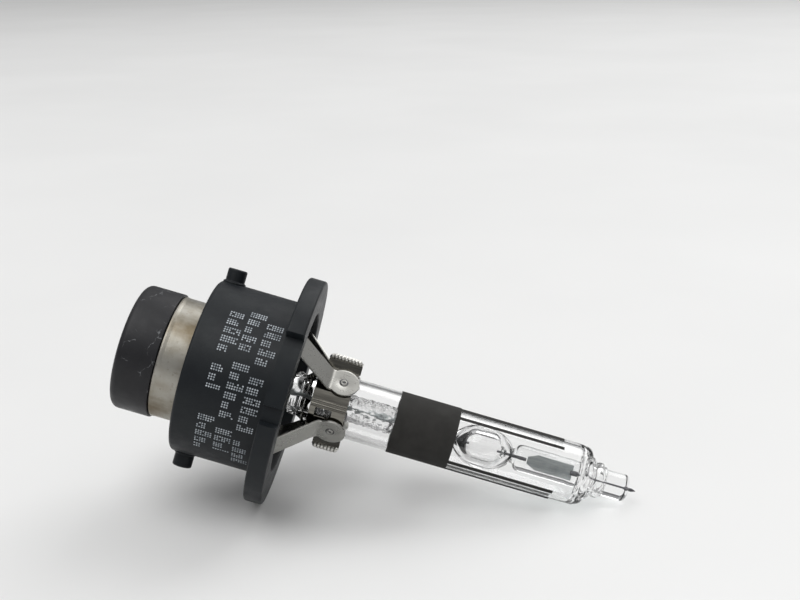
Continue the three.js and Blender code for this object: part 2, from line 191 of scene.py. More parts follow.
# Camera, in the lamp's frame: where it stands, how far the axis drops to the right, and its lens
CAMERA_POINT = Vector((16.43, 160.0, 10.34))
CAMERA_TILT = 16.22
LENS = 51.75
SENSOR = 36.0

# Studio, in metres
FLOOR_HALF_SIZE = 5.0
FLOOR_DROP = 0.0002
WORLD_STRENGTH = 0.66
# Name, place and size in metres, power in watts
SOFT_BOXES = [
    ("key", (-0.35, -0.45, 1.3), 1.2, 11),
    ("rear", (0.6, 0.9, 1.1), 1.0, 8),
    ("side", (0.76, 0.65, 0.2), 0.45, 0.22),
]

random.seed(7)
scene = bpy.context.scene


def lamp_frame():
    """The lamp's frame in the row frame, from the mount on the flange's seating face."""
    seat = next(m for m in frame["record"]["mounts"] if m["name"] == "flange_seat")
    axis = Vector(seat["axis"]).normalized()
    side = Vector((0, -1, 0))
    up = side.cross(axis)
    roll = math.radians(ROLL_BACK)
    across = math.cos(roll) * up - math.sin(roll) * side
    front = axis.cross(across)
    origin = Vector(seat["pos_m"]) - SEAT_RADIUS * MM * across
    turn = Matrix((across, front, axis)).transposed()
    return Matrix.Translation(origin) @ turn.to_4x4()


LAMP = lamp_frame()


# ---------------------------------------------------------------------------------------------- materials

class Nodes:
    """A small writer of node materials; texture coordinates are the lamp's frame, in millimetres."""

    def __init__(self, name):
        self.material = bpy.data.materials.new(name)
        self.material.use_nodes = True
        self.tree = self.material.node_tree
        self.tree.nodes.clear()
        self.output = self.tree.nodes.new("ShaderNodeOutputMaterial")
        self.shader = self.tree.nodes.new("ShaderNodeBsdfPrincipled")
        self.link(self.shader.outputs[0], self.output.inputs["Surface"])
        self.place = self.lamp_place()

    def link(self, source, target):
        self.tree.links.new(source, target)

    def lamp_place(self):
        """The object's coordinates, turned back into the lamp's frame."""
        back = LAMP.inverted()
        mapping = self.tree.nodes.new("ShaderNodeMapping")
        mapping.inputs["Rotation"].default_value = back.to_euler()
        mapping.inputs["Location"].default_value = back.translation
        self.link(self.tree.nodes.new("ShaderNodeTexCoord").outputs["Object"], mapping.inputs["Vector"])
        return mapping.outputs[0]

    def set(self, **values):
        for name, value in values.items():
            self.shader.inputs[name.replace("_", " ")].default_value = value

    def into(self, name, source):
        self.link(source, self.shader.inputs[name])

    def stretched(self, scale):
        """Coordinates in millimetres, times a scale for each axis."""
        mapping = self.tree.nodes.new("ShaderNodeMapping")
        mapping.inputs["Scale"].default_value = [s / MM for s in scale]
        self.link(self.place, mapping.inputs["Vector"])
        return mapping.outputs[0]

    def polar(self, scale):
        """(Clock angle in radians, 0, station) coordinates around the lamp axis, times a scale for each."""
        split = self.tree.nodes.new("ShaderNodeSeparateXYZ")
        self.link(self.place, split.inputs[0])
        angle = self.math("ARCTAN2", split.outputs["X"], split.outputs["Y"])
        join = self.tree.nodes.new("ShaderNodeCombineXYZ")
        self.link(angle, join.inputs["X"])
        self.link(split.outputs["Z"], join.inputs["Z"])
        mapping = self.tree.nodes.new("ShaderNodeMapping")
        mapping.inputs["Scale"].default_value = [scale[0], 1, scale[1] / MM]
        self.link(join.outputs[0], mapping.inputs["Vector"])
        return mapping.outputs[0]

    def noise(self, where, scale=1.0, detail=3.0, roughness=0.55, distortion=0.0):
        node = self.tree.nodes.new("ShaderNodeTexNoise")
        node.inputs["Scale"].default_value = scale
        node.inputs["Detail"].default_value = detail
        node.inputs["Roughness"].default_value = roughness
        node.inputs["Distortion"].default_value = distortion
        self.link(where, node.inputs["Vector"])
        return node.outputs["Fac"]

    def cracks(self, where, scale):
        """Distance to the borders of a net of cells."""
        node = self.tree.nodes.new("ShaderNodeTexVoronoi")
        node.feature = "DISTANCE_TO_EDGE"
        node.inputs["Scale"].default_value = scale
        self.link(where, node.inputs["Vector"])
        return node.outputs["Distance"]

    def warped(self, where, scale, amount):
        """Coordinates pushed about by noise."""
        node = self.tree.nodes.new("ShaderNodeTexNoise")
        node.inputs["Scale"].default_value = scale
        self.link(where, node.inputs["Vector"])
        push = self.tree.nodes.new("ShaderNodeVectorMath")
        push.operation = "MULTIPLY_ADD"
        self.link(node.outputs["Color"], push.inputs[0])
        push.inputs[1].default_value = (amount, amount, amount)
        self.link(where, push.inputs[2])
        return push.outputs[0]

    def math(self, operation, first, second=None):
        node = self.tree.nodes.new("ShaderNodeMath")
        node.operation = operation
        for socket, value in zip(node.inputs, (first, second)):
            if isinstance(value, (int, float)):
                socket.default_value = value
            elif value is not None:
                self.link(value, socket)
        return node.outputs[0]

    def ramp(self, factor, stops):
        """A colour or grey ramp from (position, value) stops."""
        node = self.tree.nodes.new("ShaderNodeValToRGB")
        ramp = node.color_ramp
        while len(ramp.elements) < len(stops):
            ramp.elements.new(0.5)
        for element, (position, value) in zip(ramp.elements, stops):
            element.position = position
            colour = value if isinstance(value, tuple) else (value, value, value)
            element.color = (*colour, 1)
        self.link(factor, node.inputs[0])
        return node.outputs["Color"]

    def mix(self, factor, first, second):
        node = self.tree.nodes.new("ShaderNodeMix")
        node.data_type = "RGBA"
        self.link(factor, node.inputs["Factor"])
        for socket, value in ((node.inputs[6], first), (node.inputs[7], second)):
            if isinstance(value, tuple):
                socket.default_value = (*value, 1)
            else:
                self.link(value, socket)
        return node.outputs[2]

    def bump(self, height, depth, strength=1.0):
        """Bump of a depth in millimetres."""
        node = self.tree.nodes.new("ShaderNodeBump")
        node.inputs["Strength"].default_value = strength
        node.inputs["Distance"].default_value = depth * MM
        self.link(height, node.inputs["Height"])
        self.into("Normal", node.outputs[0])


def moulded(name, dark, light, roughness, grain=0.01):
    """Moulded plastic: mottled colour, uneven gloss and a fine grain."""
    n = Nodes(name)
    mottle = n.noise(n.stretched((0.22, 0.22, 0.22)), detail=5, distortion=0.6)
    n.into("Base Color", n.ramp(mottle, [(0.3, dark), (0.7, light)]))
    gloss = n.noise(n.stretched((0.6, 0.6, 0.6)), detail=6)
    n.into("Roughness", n.ramp(gloss, [(0.25, roughness - 0.08), (0.75, roughness + 0.1)]))
    n.bump(n.noise(n.stretched((9, 9, 9)), detail=4), grain)
    return n


def housing_finish():
    n = moulded("housing_plastic", (0.006, 0.0078, 0.0105), (0.0105, 0.0135, 0.0155), 0.46, 0.014)
    n.set(Specular_IOR_Level=0.24)
    return n.material


def cap_finish():
    """Dark plastic with sparse hair-like scratches that show light."""
    n = moulded("cap_plastic", (0.0085, 0.0085, 0.0105), (0.014, 0.014, 0.0165), 0.46, 0.012)
    n.set(Specular_IOR_Level=0.34)
    mottled = n.shader.inputs["Base Color"].links[0].from_socket
    where = n.warped(n.stretched((1, 1, 1)), 0.9, 1.6)
    line = n.ramp(n.cracks(where, 0.33), [(0.0, 1.0), (0.018, 0.0)])
    patch = n.ramp(n.noise(n.stretched((0.35, 0.35, 0.35)), detail=1), [(0.52, 0.0), (0.6, 1.0)])
    broken = n.ramp(n.noise(n.stretched((2.2, 2.2, 2.2)), detail=3), [(0.42, 0.0), (0.62, 1.0)])
    scratch = n.math("MULTIPLY", n.math("MULTIPLY", line, patch), broken)
    n.into("Base Color", n.mix(scratch, mottled, (0.24, 0.25, 0.26)))
    return n.material


def core_finish():
    return moulded("core_plastic", (0.006, 0.007, 0.008), (0.011, 0.012, 0.013), 0.5).material


def tin_finish():
    """Tinned sleeve: pale metal, drawn lines round it and warm tarnish in patches."""
    n = Nodes("tinned_metal")
    stain = n.noise(n.stretched((0.13, 0.13, 0.09)), detail=5, roughness=0.55)
    clean, dull, brown = (0.46, 0.45, 0.42), (0.33, 0.31, 0.265), (0.17, 0.14, 0.095)
    warm = n.ramp(stain, [(0.36, clean), (0.52, dull), (0.64, brown)])
    spots = n.ramp(n.noise(n.stretched((1.7, 1.7, 1.7)), detail=4), [(0.58, 0.0), (0.72, 0.6)])
    n.into("Base Color", n.mix(spots, warm, (0.20, 0.18, 0.14)))
    drawn = n.noise(n.polar((1.2, 14)), detail=2)
    n.into("Roughness", n.ramp(drawn, [(0.2, 0.3), (0.8, 0.5)]))
    n.set(Metallic=0.9)
    n.bump(drawn, 0.012)
    return n.material


def steel_finish(name, colour, low, high, fade, depth):
    """Rolled sheet: streaks along the lamp axis and an uneven gloss."""
    n = Nodes(name)
    streaks = n.noise(n.stretched((5, 5, 0.35)), detail=4)
    faded = tuple(fade * c for c in colour)
    n.into("Base Color", n.ramp(streaks, [(0.3, faded), (0.65, colour)]))
    cloud = n.noise(n.stretched((0.8, 0.8, 0.8)), detail=5)
    gloss = n.math("MULTIPLY", n.math("ADD", streaks, cloud), 0.5)
    n.into("Roughness", n.ramp(gloss, [(0.3, low), (0.7, high)]))
    n.set(Metallic=1.0)
    n.bump(streaks, depth)
    return n.material


def brass_finish():
    n = Nodes("contact_brass")
    cloud = n.noise(n.stretched((1.2, 1.2, 0.6)), detail=5)
    n.into("Base Color", n.ramp(cloud, [(0.3, (0.42, 0.27, 0.09)), (0.7, (0.66, 0.47, 0.19))]))
    n.into("Roughness", n.ramp(cloud, [(0.3, 0.42), (0.7, 0.25)]))
    n.set(Metallic=1.0)
    return n.material


def quartz_finish(name, depth, scale):
    """Fused quartz that lets the lamps through: wavy where it was worked in the flame."""
    n = Nodes(name)
    n.set(Base_Color=(1, 1, 1, 1), Roughness=0.0, IOR=1.458, Transmission_Weight=1.0)
    n.bump(n.noise(n.stretched(scale), detail=2), depth)
    path = n.tree.nodes.new("ShaderNodeLightPath")
    clear = n.tree.nodes.new("ShaderNodeBsdfTransparent")
    clear.inputs["Color"].default_value = (0.86, 0.87, 0.87, 1)
    switch = n.tree.nodes.new("ShaderNodeMixShader")
    n.link(path.outputs["Is Shadow Ray"], switch.inputs[0])
    n.link(n.shader.outputs[0], switch.inputs[1])
    n.link(clear.outputs[0], switch.inputs[2])
    n.link(switch.outputs[0], n.output.inputs["Surface"])
    return n.material


def coating_finish():
    """Fired mineral coating: mat charcoal, slightly uneven, with pinholes."""
    n = Nodes("coating")
    cloud = n.noise(n.stretched((0.5, 0.5, 0.5)), detail=6)
    n.into("Base Color", n.ramp(cloud, [(0.3, (0.021, 0.020, 0.0185)), (0.7, (0.031, 0.030, 0.028))]))
    n.set(Roughness=0.82, Specular_IOR_Level=0.3)
    n.bump(n.noise(n.stretched((14, 14, 14)), detail=3), 0.012)
    return n.material


def foil_finish():
    """Molybdenum foil: blue-grey metal with faint lengthwise wrinkles."""
    n = Nodes("molybdenum")
    streaks = n.noise(n.stretched((6, 6, 0.5)), detail=4)
    n.into("Base Color", n.ramp(streaks, [(0.3, (0.27, 0.295, 0.30)), (0.7, (0.42, 0.445, 0.44))]))
    n.into("Roughness", n.ramp(streaks, [(0.3, 0.34), (0.7, 0.55)]))
    n.set(Metallic=0.7)
    n.bump(streaks, 0.02)
    return n.material


def tungsten_finish():
    n = Nodes("tungsten")
    grain = n.noise(n.stretched((7, 7, 7)), detail=5)
    n.into("Base Color", n.ramp(grain, [(0.3, (0.07, 0.07, 0.075)), (0.7, (0.16, 0.16, 0.17))]))
    n.into("Roughness", n.ramp(grain, [(0.3, 0.3), (0.7, 0.6)]))
    n.set(Metallic=0.9)
    return n.material


def ink_finish():
    n = Nodes("print_ink")
    wear = n.noise(n.stretched((1.6, 1.6, 1.6)), detail=4)
    n.into("Base Color", n.ramp(wear, [(0.35, (0.2, 0.225, 0.25)), (0.6, (0.5, 0.54, 0.58))]))
    n.set(Roughness=0.75)
    return n.material


def floor_finish():
    n = Nodes("studio_floor")
    cloud = n.noise(n.stretched((0.01, 0.01, 0.01)), detail=3)
    n.into("Base Color", n.ramp(cloud, [(0.3, (0.74, 0.74, 0.735)), (0.7, (0.77, 0.77, 0.765))]))
    n.set(Roughness=0.55)
    return n.material


FINISHES = {
    "housing_plastic": housing_finish(),
    "cap_plastic": cap_finish(),
    "core_plastic": core_finish(),
    "tinned_metal": tin_finish(),
    "strap_steel": steel_finish("strap_steel", (0.42, 0.415, 0.39), 0.24, 0.34, 0.93, 0.002),
    "collar_steel": steel_finish("collar_steel", (0.22, 0.21, 0.185), 0.06, 0.15, 0.6, 0.008),
    # pale steel for the crimped edges of the collar ears: a painted highlight
    "edge_painted_highlight": steel_finish("edge_painted_highlight", (0.75, 0.74, 0.7), 0.3, 0.45, 0.8, 0.01),
    "contact_brass": brass_finish(),
    "quartz": quartz_finish("quartz", 0.02, (0.5, 0.5, 0.25)),
    "worked_quartz": quartz_finish("worked_quartz", 0.16, (2.6, 2.6, 1.5)),
    "coating": coating_finish(),
    "molybdenum": foil_finish(),
    "tungsten": tungsten_finish(),
    "print_ink": ink_finish(),
}


# --------------------------------------------------------------------------------------------- mesh tools

def polar(radius, clock, station):
    angle = math.radians(clock)
    return Vector((-radius * math.sin(angle), radius * math.cos(angle), station))


# Turns the Z axis to the front side
UPRIGHT = Matrix.Rotation(math.radians(-90), 4, "X")


def steps(first, last, count):
    """Count + 1 even values from first to last."""
    return [first + (last - first) * i / count for i in range(count + 1)]


def even_clocks(count):
    """Clock angles of a full turn."""
    return steps(0, 360, count)[:-1]


def rounded(corners, closed=True):
    """The outline through (radius, station, fillet) corners, each rounded by its own fillet."""
    outline = []
    count = len(corners)
    for i, (radius, station, fillet) in enumerate(corners):
        here = Vector((radius, station))
        ends = not closed and i in (0, count - 1)
        if ends or fillet == 0:
            outline.append(here)
            continue
        back = (Vector(corners[i - 1][:2]) - here).normalized()
        ahead = (Vector(corners[(i + 1) % count][:2]) - here).normalized()
        half = back.angle(ahead) / 2
        centre = here + (back + ahead).normalized() * fillet / math.sin(half)
        start = here + back * fillet / math.tan(half) - centre
        end = here + ahead * fillet / math.tan(half) - centre
        turn = start.angle_signed(end)
        for share in steps(0, 1, ROUND_STEPS):
            outline.append(centre + Matrix.Rotation(-turn * share, 2) @ start)
    return outline


def arc(radius, station, across, along, first, last, count=12):
    """Points on an ellipse in the radius-station plane, between two angles in degrees."""
    angles = [math.radians(a) for a in steps(first, last, count)]
    return [Vector((radius + across * math.cos(a), station + along * math.sin(a))) for a in angles]


def lathe(outline, closed=True, clocks=None, radius_at=None):
    """A solid of revolution about the lamp axis; radius_at can change the radius with the clock angle."""
    bm = bmesh.new()
    clocks = clocks or even_clocks(SEGMENTS)
    rows = []
    for radius, station in outline:
        if radius < 1e-6:
            rows.append([bm.verts.new((0, 0, station))] * len(clocks))
            continue
        reach = [radius_at(radius, station, c) if radius_at else radius for c in clocks]
        rows.append([bm.verts.new(polar(r, c, station)) for r, c in zip(reach, clocks)])
    pairs = list(zip(rows, rows[1:]))
    if closed:
        pairs.append((rows[-1], rows[0]))
    for low, high in pairs:
        for i in range(len(clocks)):
            j = (i + 1) % len(clocks)
            corners = []
            for vertex in (low[i], low[j], high[j], high[i]):
                if vertex not in corners:
                    corners.append(vertex)
            if len(corners) > 2:
                bm.faces.new(corners)
    return bm


def grid(rows, skip=lambda i, j: False):
    """A sheet through rows of points, without the cells that skip names."""
    bm = bmesh.new()
    made = [[bm.verts.new(point) for point in row] for row in rows]
    for i in range(len(made) - 1):
        for j in range(len(made[i]) - 1):
            if not skip(i, j):
                bm.faces.new((made[i][j], made[i][j + 1], made[i + 1][j + 1], made[i + 1][j]))
    loose = [v for v in bm.verts if not v.link_faces]
    bmesh.ops.delete(bm, geom=loose, context="VERTS")
    return bm


def box(low, high):
    bm = bmesh.new()
    bmesh.ops.create_cube(bm, size=1)
    low, high = Vector(low), Vector(high)
    for v in bm.verts:
        v.co = (low + high) / 2 + Vector(a * b for a, b in zip(v.co, high - low))
    return bm


def turned_by(bm, matrix):
    bmesh.ops.transform(bm, matrix=matrix, verts=bm.verts)
    return bm


def clocked(bm, clock):
    return turned_by(bm, Matrix.Rotation(math.radians(clock), 4, "Z"))


def join(target, *others):
    for other in others:
        mesh = bpy.data.meshes.new("joined")
        other.to_mesh(mesh)
        target.from_mesh(mesh)
        other.free()
        bpy.data.meshes.remove(mesh)
    return target


def to_object(name, bm, hollows=()):
    """An object that holds the bmesh, in metres, in the row frame."""
    bmesh.ops.recalc_face_normals(bm, faces=bm.faces)
    for hollow in hollows:
        bmesh.ops.recalc_face_normals(hollow, faces=hollow.faces)
        bmesh.ops.reverse_faces(hollow, faces=hollow.faces)
        join(bm, hollow)
    turned_by(bm, LAMP @ Matrix.Scale(MM, 4))
    mesh = bpy.data.meshes.new(name)
    bm.to_mesh(mesh)
    bm.free()
    made = bpy.data.objects.new(name, mesh)
    scene.collection.objects.link(made)
    return made


def apply_modifiers(made):
    bpy.context.view_layer.update()
    evaluated = made.evaluated_get(bpy.context.evaluated_depsgraph_get())
    mesh = bpy.data.meshes.new_from_object(evaluated)
    old = made.data
    made.modifiers.clear()
    made.data = mesh
    bpy.data.meshes.remove(old)


def boolean(made, other, operation):
    """Joins or cuts the object with a bmesh."""
    tool = to_object("tool", other)
    modifier = made.modifiers.new("boolean", "BOOLEAN")
    modifier.operation = operation
    modifier.object = tool
    modifier.solver = "EXACT"
    apply_modifiers(made)
    mesh = tool.data
    bpy.data.objects.remove(tool)
    bpy.data.meshes.remove(mesh)


def thicken(made, thickness=SHEET, edge=SHEET_EDGE, even=True):
    """Gives a sheet its thickness, half to each side, and breaks its edges if an edge width is given."""
    solidify = made.modifiers.new("thickness", "SOLIDIFY")
    solidify.thickness = thickness * MM
    solidify.offset = 0
    solidify.use_even_offset = even
    if edge:
        bevel(made, edge)
    apply_modifiers(made)


def bevel(made, width, angle=40, segments=2):
    modifier = made.modifiers.new("bevel", "BEVEL")
    modifier.width = width * MM
    modifier.segments = segments
    modifier.limit_method = "ANGLE"
    modifier.angle_limit = math.radians(angle)
    modifier.use_clamp_overlap = True


def shade(mesh):
    """Smooth faces, with creases kept at the real edges."""
    bm = bmesh.new()
    bm.from_mesh(mesh)
    for face in bm.faces:
        face.smooth = True
    for edge in bm.edges:
        edge.smooth = len(edge.link_faces) != 2 or edge.calc_face_angle(0) < SHARP_ANGLE
    bm.to_mesh(mesh)
    bm.free()


def finished(made, finish, *nodes):
    """Shades the piece, gives it its material and puts it on the lamp in place of its CAD nodes."""
    shade(made.data)
    if made.data.materials:
        made.data.materials.clear()
    made.data.materials.append(FINISHES[finish])
    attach(made, "root")
    if nodes:
        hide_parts(*nodes)
    return made


# ------------------------------------------------------------------------------------------------- pieces

def rim_clocks():
    """Clock angles for the housing, with two close together at each side of a rim cut-out."""
    edges = [edge for first, last, _ in RIM_CUTS for edge in (first, last)]
    near = [edge + side for edge in edges for side in (-NOTCH_EDGE, NOTCH_EDGE)]
    even = [c - 180 for c in even_clocks(SEGMENTS)]
    kept = [c for c in even if all(abs(c - n) > NOTCH_EDGE for n in near)]
    return sorted(kept + [n if n <= 180 else n - 360 for n in near])


def rim_radius(radius, station, clock):
    """The flange's rim steps in at its cut-outs."""
    if radius <= BODY_RADIUS + 1:
        return radius
    for first, last, floor in RIM_CUTS:
        if first <= clock <= last or first <= clock + 360 <= last:
            return min(radius, floor)
    return radius


def pin(side):
    """A bayonet pin along X, flared a little where it leaves the body."""
    outline = rounded([
        (0, PIN_ROOT, 0),
        (PIN_RADIUS + PIN_FLARE, PIN_ROOT, 0),
        (PIN_RADIUS + PIN_FLARE, BODY_RADIUS + 0.12, 0.1),
        (PIN_RADIUS, BODY_RADIUS + 0.3, 0.1),
        (PIN_RADIUS, PIN_REACH, 0.22),
        (0, PIN_REACH, 0),
    ], closed=False)
    body = lathe(outline, closed=False, clocks=even_clocks(PIN_SEGMENTS))
    turn = Matrix.Rotation(math.radians(90 * side), 4, "Y")
    return turned_by(body, Matrix.Translation((0, 0, PIN_STATION)) @ turn)


def housing():
    rear = -FLANGE_THICKNESS
    outline = rounded([
        (REAR_BORE_RADIUS, BODY_REAR, 0.25),
        (BODY_RADIUS, BODY_REAR, 0.5),
        (BODY_RADIUS, rear, 0.35),
        (FLANGE_RADIUS, rear, 0.3),
        (FLANGE_RADIUS, 0, 0.35),
        (OPENING_RADIUS, 0, 0.25),
        (OPENING_RADIUS, CAVITY_FLOOR, 0.4),
        (FLOOR_HOLE_RADIUS, CAVITY_FLOOR, 0.1),
        (FLOOR_HOLE_RADIUS, REAR_FLOOR, 0.1),
        (REAR_BORE_RADIUS, REAR_FLOOR, 0.3),
    ])
    made = to_object("moulded_housing", lathe(outline, clocks=rim_clocks(), radius_at=rim_radius))
    for side in (1, -1):
        boolean(made, pin(side), "UNION")
    finished(made, "housing_plastic", "base_housing")


def cap():
    outline = rounded([
        (SOCKET_RADIUS, CAP_REAR, 0.35),
        (CAP_RADIUS, CAP_REAR, 0.95),
        (CAP_RADIUS, CAP_FRONT, 0.15),
        (SPIGOT_RADIUS, CAP_FRONT, 0),
        (SPIGOT_RADIUS, SPIGOT_FRONT, 0.1),
        (SOCKET_RADIUS, SPIGOT_FRONT, 0.1),
    ])
    finished(to_object("cap_shell", lathe(outline)), "cap_plastic", "connector_cap")


def sleeve():
    """The tinned sleeve, its rear edge rolled a little outwards."""
    rear = CAP_FRONT + GAP
    outline = rounded([
        (SLEEVE_INNER, rear, 0.05),
        (SLEEVE_OUTER + SLEEVE_ROLL, rear, 0.12),
        (SLEEVE_OUTER + SLEEVE_ROLL, rear + 0.3, 0.1),
        (SLEEVE_OUTER, rear + 0.7, 0.2),
        (SLEEVE_OUTER, SLEEVE_FRONT, 0.1),
        (SLEEVE_INNER, SLEEVE_FRONT, 0.1),
    ])
    finished(to_object("sleeve_shell", lathe(outline)), "tinned_metal", "contact_sleeve")


def core():
    bore = CONTACT_RADIUS + GAP
    rear, front = CORE_COLLAR
    outline = rounded([
        (bore, CORE_REAR, 0.12),
        (CORE_RADIUS, CORE_REAR, 0.4),
        (CORE_RADIUS, rear, 0.3),
        (CORE_COLLAR_RADIUS, rear, 0.2),
        (CORE_COLLAR_RADIUS, front, 0.2),
        (CORE_RADIUS, front, 0.1),
        (CORE_RADIUS, CORE_FRONT, 0.1),
        (bore, CORE_FRONT, 0.05),
    ])
    finished(to_object("core_post", lathe(outline)), "core_plastic", "connector_core")


def contact():
    rear, front = CONTACT_SPAN
    tip = arc(0, rear + CONTACT_RADIUS, CONTACT_RADIUS, CONTACT_RADIUS, -90, 0)
    tip[0].x = 0
    outline = [*tip, Vector((CONTACT_RADIUS, front)), Vector((0, front))]
    made = to_object("contact_pin", lathe(outline, closed=False, clocks=even_clocks(PIN_SEGMENTS)))
    finished(made, "contact_brass", "centre_contact")


def holder():
    rear = CARRIER_SPAN[0]
    step = CORE_FRONT + 0.1
    bore = STEM_RADIUS + GAP
    outline = rounded([
        (CORE_RADIUS + GAP, rear, 0.05),
        (HOLDER_RADIUS, rear, 0.1),
        (HOLDER_RADIUS, HOLDER_FRONT - 0.8, 0.2),
        (HOLDER_RADIUS - 0.8, HOLDER_FRONT, 0.2),
        (bore, HOLDER_FRONT, 0.15),
        (bore, step, 0),
        (CORE_RADIUS + GAP, step, 0.05),
    ])
    finished(to_object("burner_holder", lathe(outline)), "core_plastic", "burner_socket")


def carrier():
    rear, front = CARRIER_SPAN
    outline = rounded([
        (HOLDER_RADIUS + GAP, rear, 0.1),
        (CARRIER_RADIUS, rear, 0.2),
        (CARRIER_RADIUS, front, 0.3),
        (HOLDER_RADIUS + GAP, front, 0.2),
    ])
    made = to_object("carrier_disc", lathe(outline))
    inner = STRAP_ROOT_RADIUS - SHEET / 2 - GAP
    outer = STRAP_ROOT_RADIUS + SHEET / 2 + GAP
    half = STRAP_HALF_WIDTH + GAP
    for clock in STRAPS.values():
        slot = box((-half, inner, STRAP_ROOT - GAP), (half, outer, 0))
        boolean(made, clocked(slot, clock), "DIFFERENCE")
    finished(made, "core_plastic", "strap_carrier")


def strap(place, clock):
    """A leg from the carrier that slants in and ends as a round plate on the collar."""
    plate = COLLAR_INNER + SHEET + GAP + SHEET / 2
    bent = [
        (STRAP_ROOT, STRAP_ROOT_RADIUS, 0),
        (STRAP_KNEE, STRAP_ROOT_RADIUS, BEND_RADIUS),
        (STRAP_ANKLE, plate, BEND_RADIUS),
        (PLATE_STATION + STRAP_PLATE_RADIUS, plate, 0),
    ]
    neck = math.asin(STRAP_HALF_WIDTH / STRAP_PLATE_RADIUS)
    leg_end = PLATE_STATION - STRAP_PLATE_RADIUS * math.cos(neck)
    line = [point for point in rounded(bent, closed=False) if point.x < leg_end]
    rows = [(station, radius, STRAP_HALF_WIDTH) for station, radius in line]
    for angle in steps(neck, math.radians(174), 44):
        station = PLATE_STATION - STRAP_PLATE_RADIUS * math.cos(angle)
        rows.append((station, plate, STRAP_PLATE_RADIUS * math.sin(angle)))
    points = [
        [Vector((half * across, radius, station)) for across in steps(-1, 1, 24)]
        for station, radius, half in rows
    ]
    middle = Vector((0, PLATE_STATION))
    for point in sum(points, []):
        away = (point.xz - middle).length
        point.y -= DISH_DEPTH * math.exp(-(away / DISH_RADIUS) ** 2)
    sheet = grid(points)
    made = to_object("strap_sheet_" + place, clocked(sheet, clock))
    thicken(made)
    finished(made, "strap_steel", "strap_" + place)


def weld(place, clock):
    """A spot weld: a crater with a raised rim in the strap's steel, inside a ring; the crater and the ring
    take a dark finish.
    """
    foot = COLLAR_INNER + 2 * SHEET + GAP - DISH_DEPTH / 2
    outline = rounded([
        (0, -0.1, 0),
        (WELD_RADIUS, -0.1, 0),
        (WELD_RADIUS, 0.01, 0.01),
        (WELD_RIM_RADIUS + 0.08, -0.02, 0.02),
        (WELD_RIM_RADIUS, 0.13, 0.05),
        (WELD_RIM_RADIUS - 0.16, 0.13, 0.05),
        (WELD_RIM_RADIUS - 0.24, 0.0, 0.04),
        (0, 0.0, 0),
    ], closed=False)
    button = lathe(outline, closed=False, clocks=even_clocks(WELD_SEGMENTS))
    rim_low, rim_high = WELD_RIM_RADIUS - 0.22, WELD_RIM_RADIUS + 0.07
    # the crater and the outer ring take the dark tungsten finish, and the rim takes the strap's steel
    for face in button.faces:
        face.material_index = int(rim_low < face.calc_center_median().xy.length < rim_high)
    turned_by(button, Matrix.Translation((0, foot, PLATE_STATION)) @ UPRIGHT)
    made = to_object("weld_button_" + place, clocked(button, clock))
    finished(made, "tungsten", "weld_" + place)
    made.data.materials.append(FINISHES["strap_steel"])


def ear_rows(side, reach, span):
    """Rows of an ear, from its tip to the bend: a point, the first and last station, and the depth."""
    rows = []
    foot = COLLAR_INNER + SHEET / 2 + COLLAR_BEND
    for depth in steps(0, reach - foot, 28):
        short = max(0, EAR_CORNER - depth)
        inset = EAR_CORNER - math.sqrt(max(0, EAR_CORNER**2 - short**2))
        point = Vector((side * (reach - depth), COLLAR_GAP))
        rows.append((point, (span[0] + inset, span[1] - inset), depth))
    return rows


def crimp(depth, station):
    """How far the teeth along an ear's edge stand out of its face."""
    if depth > CRIMP_DEPTH:
        return 0
    tooth = 0.5 + 0.5 * math.cos(2 * math.pi * station / CRIMP_PITCH)
    return CRIMP_HEIGHT * (0.35 + 0.65 * tooth) * math.sin(math.pi * depth / CRIMP_DEPTH)


def bead(clock):
    """Two narrow ribs pressed into the collar along the lamp axis."""
    return BEAD_HEIGHT * sum(math.exp(-((clock - c) / BEAD_SPREAD) ** 2) for c in BEAD_CLOCKS)


def collar_half(name, half_turn, ears, windowed, node):
    """Half of the collar: a half ring with a flat ear at each end, bent from one sheet. The crimped band at
    each ear's edge gets a pale steel finish, which is a painted highlight.
    """
    middle = COLLAR_INNER + SHEET / 2
    lift = math.degrees(math.asin((COLLAR_GAP + COLLAR_BEND) / middle))
    near_beads = steps(2 * BEAD_CLOCKS[0], 2 * BEAD_CLOCKS[1], 28)
    even = [c for c in steps(-90 + lift, 90 - lift, 60) if abs(c) > near_beads[-1] + 0.5]
    clocks = sorted([*even, *near_beads, *WINDOW_CLOCK])
    turn = [(polar(middle + bead(c), c, 0).xy, COLLAR_SPAN, 1) for c in clocks]
    right, left = (ear_rows(side, *ear) for side, ear in zip((1, -1), ears))
    rows = []
    for point, span, depth in [*right, *turn, *left[::-1]]:
        rows.append([Vector((point.x, point.y + crimp(depth, z), z)) for z in steps(*span, 80)])
    first = len(right)

    def skip(i, j):
        if not windowed or not first <= i < first + len(turn) - 1:
            return False
        inside = WINDOW_CLOCK[0] <= clocks[i - first] < WINDOW_CLOCK[1]
        middle_station = (rows[i][j].z + rows[i][j + 1].z) / 2
        return inside and WINDOW_SPAN[0] < middle_station < WINDOW_SPAN[1]

    sheet = grid(rows, skip)
    # the faces of the crimped band near each ear's tip take the pale steel: a painted highlight
    for face in sheet.faces:
        x = face.calc_center_median().x
        reach = ears[0][0] if x > 0 else ears[1][0]
        face.material_index = int(abs(x) > reach - CRIMP_DEPTH)
    made = to_object(name, clocked(sheet, half_turn))
    thicken(made, even=False)
    finished(made, "collar_steel", node)
    made.data.materials.append(FINISHES["edge_painted_highlight"])


def crumple(bm, span, depth, size):
    """Flame-worked glass: pushes the points between two stations in and out, fading at both ends."""
    low, high = span
    for v in bm.verts:
        share = (v.co.z - low) / (high - low)
        if 0 < share < 1 and v.co.xy.length > 0.1:
            push = depth * math.sin(math.pi * share) ** 0.5 * noise.noise(v.co / size)
            outward = Vector((v.co.x, v.co.y, 0)).normalized()
            v.co += outward * push + Vector((0, 0, 0.3 * push))


